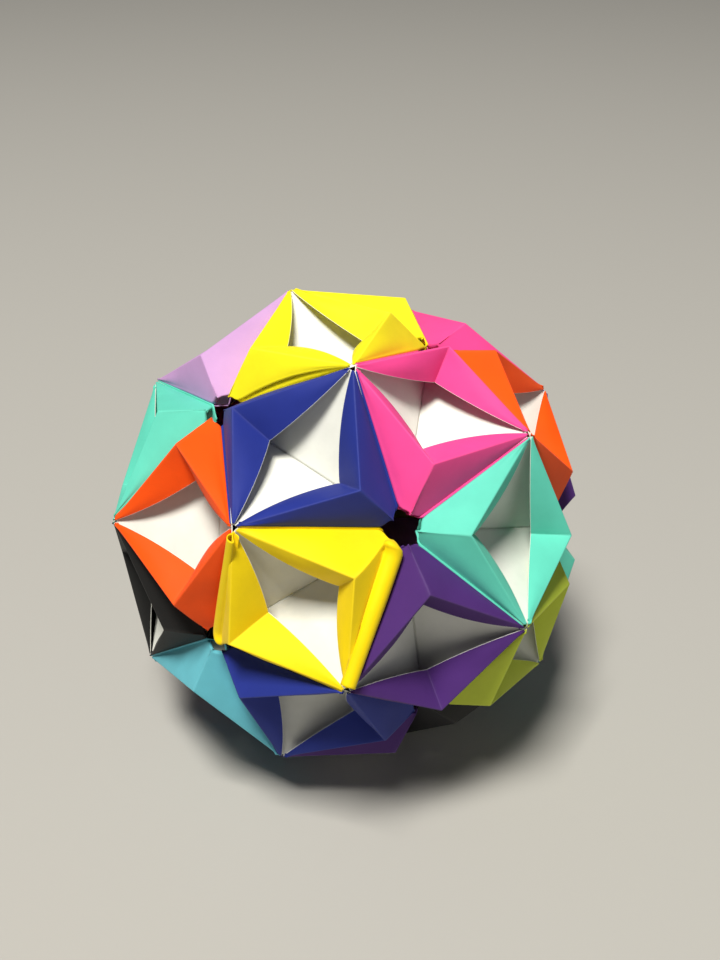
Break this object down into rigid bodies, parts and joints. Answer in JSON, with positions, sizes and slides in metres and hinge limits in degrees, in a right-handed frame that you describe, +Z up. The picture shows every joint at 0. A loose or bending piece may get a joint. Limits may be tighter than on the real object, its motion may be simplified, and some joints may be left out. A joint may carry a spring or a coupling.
{
  "type": "kusudama paper ball",
  "caption": "Modular paper ball of folded square sheets: coloured tented flaps round white rhombic windows, meeting at small star-shaped holes.",
  "frame": {"origin": "on the surface the ball stands on, straight below its centre", "axes": "+Z up; the lowest unit lies along X between its five-fold corners, and its two sharp tips lie along Y, a two-fold axis of the ball"},
  "size_m": [0.1708, 0.165, 0.1642],
  "materials": {
    "navy_paper": "plain uncoated folding paper, coloured on one face and white on the other",
    "pink_paper": "plain uncoated folding paper, coloured on one face and white on the other",
    "mint_paper": "plain uncoated folding paper, coloured on one face and white on the other",
    "purple_paper": "plain uncoated folding paper, coloured on one face and white on the other",
    "yellow_paper": "plain uncoated folding paper, coloured on one face and white on the other",
    "orange_paper": "plain uncoated folding paper, coloured on one face and white on the other",
    "lilac_paper": "plain uncoated folding paper, coloured on one face and white on the other",
    "sky_paper": "plain uncoated folding paper, coloured on one face and white on the other",
    "lime_paper": "plain uncoated folding paper, coloured on one face and white on the other",
    "black_paper": "plain uncoated folding paper, coloured on one face and white on the other"
  },
  "bodies": {
    "root": {"folded_unit_01": "lime_paper", "folded_unit_02": "purple_paper", "folded_unit_03": "black_paper", "folded_unit_04": "lilac_paper", "folded_unit_05": "orange_paper", "folded_unit_06": "sky_paper", "folded_unit_07": "mint_paper", "folded_unit_08": "lilac_paper", "folded_unit_09": "navy_paper", "folded_unit_10": "navy_paper", "folded_unit_11": "lime_paper", "folded_unit_12": "lime_paper", "folded_unit_13": "sky_paper", "folded_unit_14": "purple_paper", "folded_unit_15": "purple_paper", "folded_unit_16": "black_paper", "folded_unit_17": "black_paper", "folded_unit_18": "yellow_paper", "folded_unit_19": "mint_paper", "folded_unit_20": "sky_paper", "folded_unit_21": "pink_paper", "folded_unit_22": "orange_paper", "folded_unit_23": "orange_paper", "folded_unit_24": "pink_paper", "folded_unit_25": "mint_paper", "folded_unit_26": "navy_paper", "folded_unit_27": "pink_paper", "folded_unit_28": "yellow_paper", "folded_unit_29": "lilac_paper", "folded_unit_30": "yellow_paper"}
  },
  "joints": []
}
